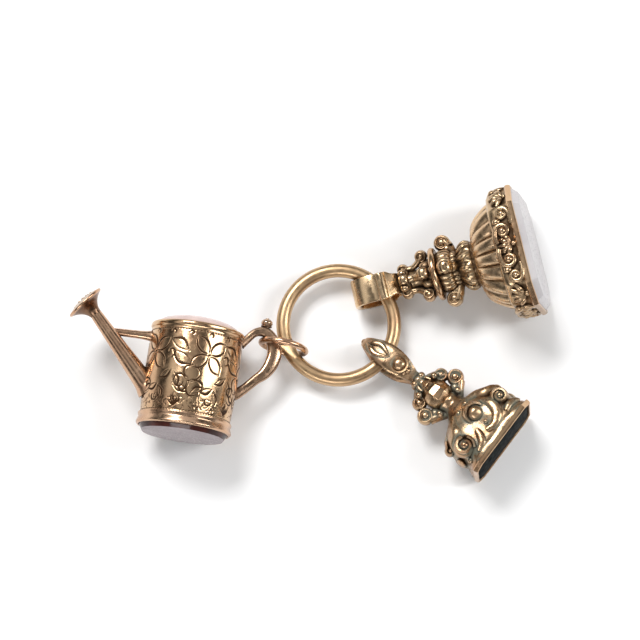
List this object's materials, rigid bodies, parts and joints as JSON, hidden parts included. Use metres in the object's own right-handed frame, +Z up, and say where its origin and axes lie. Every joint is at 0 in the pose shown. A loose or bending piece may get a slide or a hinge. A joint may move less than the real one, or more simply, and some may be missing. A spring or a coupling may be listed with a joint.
{
  "type": "watch fob",
  "caption": "Gold pocket watch fob: a split ring that carries a watering can charm and two desk seals with polished stones.",
  "frame": {"origin": "on the table, under the middle of the fob's bounding box", "axes": "+Z up from the table, +X from the watering can towards the seals, +Y from the can's base towards its mouth"},
  "size_m": [0.084, 0.0511, 0.0187],
  "materials": {
    "gold": "worn polished, darker in the recesses",
    "pale_stone": "polished dome",
    "banded_stone": "polished",
    "clear_stone": "polished",
    "dark_stone": "polished"
  },
  "bodies": {
    "ring": {"split_ring": "gold"},
    "link": {"jump_ring": "gold"},
    "watering_can": {"can_barrel": "gold", "can_top_bezel": "gold", "can_top_stone": "pale_stone", "can_base_bezel": "gold", "can_base_plate": "gold", "can_seal_stone": "banded_stone", "spout_tube": "gold", "spout_rose": "gold", "rose_plate": "gold", "spout_brace": "gold", "can_handle": "gold", "handle_knob": "gold"},
    "large_seal": {"large_bail": "gold", "large_bead_collar": "gold", "large_stem": "gold", "large_upper_scrolls": "gold", "large_disc_collar": "gold", "large_lower_scrolls": "gold", "large_leaf_knop": "gold", "large_gadroon_dome": "gold", "large_scroll_border": "gold", "large_bezel": "gold", "large_backing_plate": "gold", "large_seal_stone": "clear_stone"},
    "small_seal": {"small_bail": "gold", "small_bail_bosses": "gold", "small_knuckle": "gold", "small_faceted_knop": "gold", "small_side_scrolls": "gold", "small_waist": "gold", "small_body": "gold", "small_scroll_bosses": "gold", "small_bezel": "gold", "small_backing_plate": "gold", "small_seal_stone": "dark_stone"}
  },
  "joints": [
    {"name": "link_turn", "type": "hinge", "parent": "ring", "child": "link", "pos_m": [-0.00423, -0.00186, 0.00342], "axis": [0.4299, -0.9029, 0], "range_deg": [-45, 45]},
    {"name": "can_turn", "type": "hinge", "parent": "link", "child": "watering_can", "pos_m": [-0.00683, -0.00145, 0.00564], "axis": [0.2198, -0.9736, -0.0612], "range_deg": [-45, 45]},
    {"name": "large_seal_swing", "type": "hinge", "parent": "ring", "child": "large_seal", "pos_m": [0.01199, 0.00881, 0.00342], "axis": [-0.6587, 0.7524, 0], "range_deg": [-40, 60]},
    {"name": "small_seal_swing", "type": "hinge", "parent": "ring", "child": "small_seal", "pos_m": [0.01263, -0.0033, 0.00342], "axis": [0.5764, 0.8171, 0], "range_deg": [-40, 60]}
  ]
}
